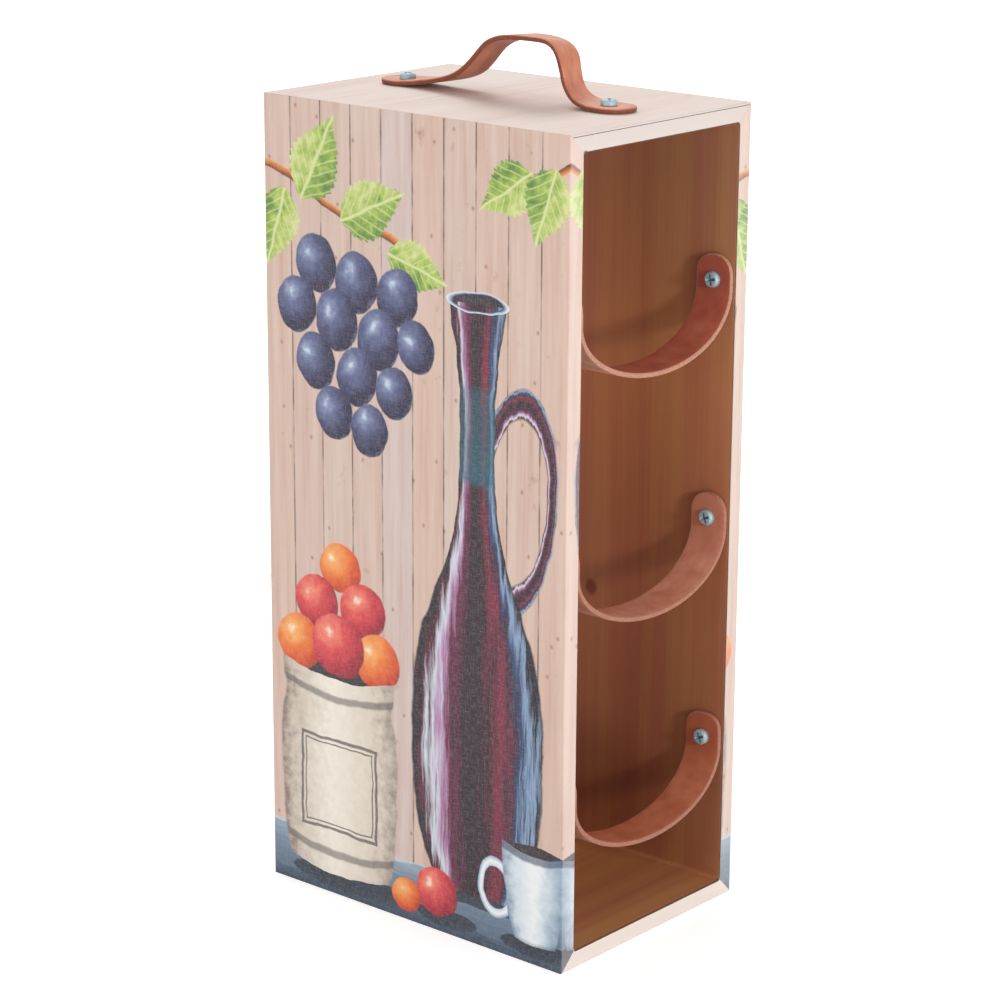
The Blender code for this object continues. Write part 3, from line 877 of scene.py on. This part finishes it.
def build_slings():
    for place in ("front", "rear"):
        for level in ("top", "middle", "bottom"):
            node_name = f"{place}_{level}_sling"
            _, y, height = centre(f"{place}_{level}_screw_left")
            route = sling_route(y, height)
            screws = (sling_tab_rise, route.length - sling_tab_rise)
            mesh = strap_mesh(f"{node_name}_leather", route, sling_width, sling_thickness, screws,
                              sling_squareness[level])
            add_piece(f"{node_name}_leather", mesh, f"{level}_{place}", node_name,
                      sling_hides[level])


def smooth_line(shares):
    """The handle's edge line as (y, z) points, smooth through its shares."""
    knots = [Vector((y * handle_screw_reach, z * handle_rise, 0)) for y, z in shares]
    slopes = [(after - before) / 6 for before, after in zip(knots, knots[2:])]
    slopes = [(knots[1] - knots[0]) / 3, *slopes, (knots[-1] - knots[-2]) / 3]
    line = []
    for k in range(len(knots) - 1):
        line += interpolate_bezier(knots[k], knots[k] + slopes[k], knots[k + 1] - slopes[k + 1], knots[k + 1],
                                   handle_span_steps + 1)[:-1]
    return line + [knots[-1]]


def build_handle():
    tip = handle_screw_reach + handle_end_reach
    edges = []
    for side, shares in ((-1, handle_left_shares), (1, handle_right_shares)):
        x = side * handle_width / 2
        line = [Vector((x, y, handle_seat + z)) for y, z, flat in smooth_line(shares)]
        edges.append([Vector((x, -tip, handle_seat))] + line + [Vector((x, tip, handle_seat))])
    route = Route(*edges)
    screws = (handle_end_reach, route.length - handle_end_reach)
    mesh = strap_mesh("handle_strap_leather", route, handle_width, handle_thickness, screws,
                      handle_squareness)
    add_piece("handle_strap_leather", mesh, "case", "handle_strap", handle_hide)


def set_print(mesh, side):
    """Each point's place on the print, in millimetres from its lower left corner. Past the folds the print
    runs back, as on a mirror-wrapped picture."""
    print_place = mesh.attributes.new("print_place", "FLOAT_VECTOR", "POINT")
    for point, placed in zip(mesh.vertices, print_place.data):
        inset = half_width - abs(point.co.x)
        across = half_depth + side * point.co.y
        across = min(across, 2 * half_depth - inset) if across > half_depth else max(across, inset)
        placed.vector = (across / millimetre, point.co.z / millimetre, 0)


def canvas_run():
    """The outside of a skin from the inner edge of the front to that of the back: t inwards from the case's
    side, y across the depth, and the way out of the canvas there as (t, y)."""
    reach = half_depth - fold_radius
    flat = wall_thickness - fold_radius
    outline = []
    for end in (-1, 1):
        fold = []
        for step in range(fold_steps + 1):
            turn = math.pi / 2 * step / fold_steps
            fold.append((fold_radius * (1 - math.cos(turn)), end * (reach + fold_radius * math.sin(turn)),
                         (-math.cos(turn), end * math.sin(turn))))
        edge = [(wall_thickness - inner_arris / 2, end * half_depth, (0, end)),
                (wall_thickness - inner_arris / 2 - flat / 2, end * half_depth, (0, end))]
        outline += edge + fold[::-1] if end < 0 else fold + edge[::-1]
    points = []
    for (t, y, facing), after in zip(outline, outline[1:] + [None]):
        points.append((t, y, facing))
        if after and after[1] - y > canvas_step:
            count = round((after[1] - y) / canvas_step)
            points += [(t, y + (after[1] - y) * k / count, facing) for k in range(1, count)]
    return points


def build_canvas():
    """Each side's skin runs from the inner edge of the front, round the fold, along the side, round the rear
    fold and to the inner edge of the back. Its top and bottom follow the boards' mitres."""
    points = canvas_run()
    marks = [0] * (len(points) - 1) + [1] * (len(points) + 1)
    rows = round(case_height / canvas_step)
    for name, side in (("left_canvas_wrap", -1), ("right_canvas_wrap", 1)):
        rings = []
        for k in range(rows + 1):
            ring = []
            for depth in (0, canvas_thickness):
                line = []
                for t, y, (out, across) in points:
                    low = t + joint_line
                    deep = depth * (free_edge_share if t == points[0][0] else 1)
                    inside = t - deep * out
                    z = low + (case_height - 2 * low) * k / rows
                    line.append((side * (half_width - inside), y - deep * across, z))
                ring += line if depth == 0 else line[::-1]
            rings.append(ring)
        solid = bmesh.new()
        rings_to_tube(solid, rings, marks)
        mesh = finished_mesh(solid, name)
        set_print(mesh, side)
        piece = add_piece(f"{name}_print", mesh, "case", name, [canvas, raw_cotton])


def cross_cutter():
    """The tool for the recess: a cross that narrows downwards and stands proud of the crown that it cuts."""
    half = screw_recess_width / 2
    reach = screw_recess_reach
    quarter = [(reach, -half), (reach, half), (half, half)]
    outline = []
    for k in range(4):
        turn = Matrix.Rotation(math.pi / 2 * k, 2)
        outline += [turn @ Vector(point) for point in quarter]
    high = screw_head_height + screw_crown
    low = screw_head_height - screw_recess_depth
    solid = bmesh.new()
    rings = []
    for z, share in ((low, screw_recess_taper_share), (screw_head_height, 1.0), (high, 1.0)):
        rings.append([(x * share, y * share, z) for x, y in outline])
    rings_to_tube(solid, rings, [0] * len(outline))
    mesh = finished_mesh(solid, "recess")
    tool = bpy.data.objects.new("recess", mesh)
    scene.collection.objects.link(tool)
    return tool


def in_order(mesh):
    """A bmesh of this mesh's faces in a fixed order, because a boolean's own differs from run to run."""
    rings = []
    for face in mesh.polygons:
        ring = [tuple(mesh.vertices[k].co) for k in face.vertices]
        ring = [point for point, before in zip(ring, ring[-1:] + ring[:-1]) if point != before]
        first = ring.index(min(ring))
        rings.append(ring[first:] + ring[:first])
    solid = bmesh.new()
    points = {point: solid.verts.new(point) for point in sorted({point for ring in rings for point in ring})}
    for ring in sorted(rings):
        solid.faces.new([points[point] for point in ring])
    return solid


def screw_mesh():
    """A pan-head screw along Z with the underside of its head at z = 0."""
    profile = [(0.0, screw_head_height)]
    flat = screw_head_radius * screw_crown_share
    for step in range(screw_shoulder_steps + 1):
        turn = math.pi / 2 * step / screw_shoulder_steps
        spread = (screw_head_radius - flat) * math.sin(turn)
        rise = (screw_head_height - screw_crown / 2 - screw_rim_height) * math.cos(turn)
        profile.append((flat + spread, screw_rim_height + rise))
    profile += [(screw_head_radius, 0.0), (screw_shank_radius, 0.0),
                (screw_shank_radius, screw_tip_length - screw_length), (0.0, -screw_length)]
    solid = bmesh.new()
    verts = [solid.verts.new((x, 0, z)) for x, z in profile]
    edges = [solid.edges.new(pair) for pair in zip(verts, verts[1:])]
    bmesh.ops.spin(solid, geom=verts + edges, cent=(0, 0, 0), axis=(0, 0, 1), angle=2 * math.pi,
                   steps=screw_turn_steps, use_merge=True)
    mesh = finished_mesh(solid, "screw")
    turned = bpy.data.objects.new("turned", mesh)
    scene.collection.objects.link(turned)
    tool = cross_cutter()
    recess = turned.modifiers.new("recess", "BOOLEAN")
    recess.operation = "DIFFERENCE"
    recess.solver = "EXACT"
    recess.object = tool
    bpy.context.view_layer.update()
    depsgraph = bpy.context.evaluated_depsgraph_get()
    cut = finished_mesh(in_order(turned.evaluated_get(depsgraph).data), "screw")
    bpy.data.objects.remove(turned)
    bpy.data.objects.remove(tool)
    for material in zinc:
        cut.materials.append(material)
    for face in cut.polygons:
        x, y, z = face.center
        in_cross = min(abs(x), abs(y)) < screw_recess_width / 2 + merge_distance
        face.material_index = int(in_cross and math.hypot(x, y) < screw_recess_reach + merge_distance
                                  and 0 < z < screw_head_height - screw_crown / 2)
    return cut


def build_screws():
    mesh = screw_mesh()
    seats = {}
    for name, end in (("front_handle_screw", -1), ("rear_handle_screw", 1)):
        seats[name] = ((0, end * handle_screw_reach, handle_seat + handle_thickness), (0, 0, 1))
    face = sling_span - sling_thickness
    for place in ("front", "rear"):
        for level in ("top", "middle", "bottom"):
            for side, out in (("left", 1), ("right", -1)):
                name = f"{place}_{level}_screw_{side}"
                _, y, height = centre(name)
                seats[name] = ((-out * face, y, height), (out, 0, 0))
    for number, (name, (seat, out)) in enumerate(seats.items()):
        turn = math.radians(screw_first_turn + screw_next_turn * number)
        turn = Vector(out).to_track_quat("Z", "Y").to_matrix().to_4x4() @ Matrix.Rotation(turn, 4, "Z")
        placed = mesh.copy()
        placed.transform(Matrix.Translation(seat) @ turn)
        add_piece(f"{name}_zinc", placed, "case", name)


def build_softboxes():
    for name, place, size, power in softboxes:
        light = bpy.data.lights.new(name, "AREA")
        light.shape = "SQUARE"
        light.size = size
        light.energy = power
        lamp = bpy.data.objects.new(name, light)
        scene.collection.objects.link(lamp)
        lamp.location = place
        towards_case = Vector((0, 0, half_height)) - Vector(place)
        lamp.rotation_euler = towards_case.to_track_quat("-Z", "Y").to_euler()


def seen_directly(add):
    """1 where the camera, a reflection or a view through glass sees a thing, 0 where it lights the object."""
    rays = add("LightPath", {})
    seen = add("Math", {0: rays.outputs["Is Camera Ray"], 1: rays.outputs["Is Glossy Ray"]},
               operation="MAXIMUM")
    return add("Math", {0: seen, 1: rays.outputs["Is Transmission Ray"]}, operation="MAXIMUM")


def build_world():
    """White where it is seen, and soft light on the object."""
    world = bpy.data.worlds.new("studio")
    scene.world = world
    world.use_nodes = True
    back = world.node_tree.nodes["Background"]
    back.inputs["Color"].default_value = (1, 1, 1, 1)
    add = partial(node, world.node_tree)
    strength = add("MapRange", {"Value": seen_directly(add)}, stops=(0, 1, world_light, 1.0))
    world.node_tree.links.new(first_output(strength), back.inputs["Strength"])


def build_floor():
    """White studio paper. It glows up to white where it is seen, less so near the case, so that the case's
    shadow stays."""
    mesh = bpy.data.meshes.new("floor")
    solid = bmesh.new()
    bmesh.ops.create_grid(solid, x_segments=1, y_segments=1, size=floor_half_size)
    solid.to_mesh(mesh)
    solid.free()
    floor = bpy.data.objects.new("floor", mesh)
    scene.collection.objects.link(floor)
    material, add, shader = new_material("studio_paper", roughness=0.9)
    shader.inputs["Base Color"].default_value = colour("#F4F3F1")
    shader.inputs["Emission Color"].default_value = (1, 1, 1, 1)
    place = add("TexCoord", {})
    away = add("VectorMath", {0: place.outputs["Object"]}, operation="LENGTH")
    glow = add("MapRange", {"Value": away.outputs["Value"]}, stops=floor_glow)
    glow = add("Math", {0: glow, 1: seen_directly(add)}, operation="MULTIPLY")
    material.node_tree.links.new(first_output(glow), shader.inputs["Emission Strength"])
    mesh.materials.append(material)


def build_camera():
    """The photograph's view, from measured corners of the case."""
    azimuth = math.radians(-49.53)
    elevation = math.radians(15.93)
    roll = math.radians(0.336)
    distance = 1.5247
    sideways = -0.0016
    upwards = 0.0015
    back = Vector((math.sin(azimuth) * math.cos(elevation), -math.cos(azimuth) * math.cos(elevation),
                   math.sin(elevation)))
    level = back.cross(Vector((0, 0, -1))).normalized()
    plumb = back.cross(level)
    right = math.cos(roll) * level + math.sin(roll) * plumb
    up = math.cos(roll) * plumb - math.sin(roll) * level
    camera = bpy.data.cameras.new("camera")
    camera.sensor_width = 36
    camera.lens = 111.8
    eye = bpy.data.objects.new("camera", camera)
    scene.collection.objects.link(eye)
    eye.matrix_world = Matrix((right, up, back)).transposed().to_4x4()
    eye.location = Vector((0, 0, half_height)) + back * distance + right * sideways + up * upwards
    scene.camera = eye


limed = {axis: limed_plywood(axis) for axis in "XZ"}
stained = {axis: stained_plywood(axis) for axis in "XZ"}
flesh_side = leather_face("tan_cowhide_flesh_side", *flesh_dye)
sling_hides = {}
# Each sling's shades carry painted light and shade besides its dye
for level, grain_dye, edge_dye in sling_dyes:
    screw_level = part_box(f"front_{level}_screw_left")[0].z
    grain_side = leather_face(f"tan_cowhide_grain_{level}", *grain_dye, screw_level)
    cut = leather_edge(f"tan_cowhide_cut_edge_{level}", *edge_dye)
    sling_hides[level] = [grain_side, flesh_side, cut, cut]
# The handle's cut edge is darker than its face: painted shade
handle_grain = leather_face("tan_cowhide_grain_handle", *handle_dyes[0])
handle_hide = [handle_grain, leather_face("tan_cowhide_flesh_handle", *handle_dyes[1]),
               leather_edge("tan_cowhide_cut_edge_handle", *handle_dyes[2]), handle_grain]
# The recess is darker than the plate: painted shade
zinc = [zinc_plate("blue_zinc_plate", *plate_shades), zinc_plate("blue_zinc_recess", *recess_shades)]
canvas = printed_canvas()
raw_cotton = raw_canvas()

build_boards()
build_slings()
build_handle()
build_canvas()
build_screws()
build_softboxes()
build_world()
build_floor()
build_camera()

scene.view_settings.view_transform = "Standard"
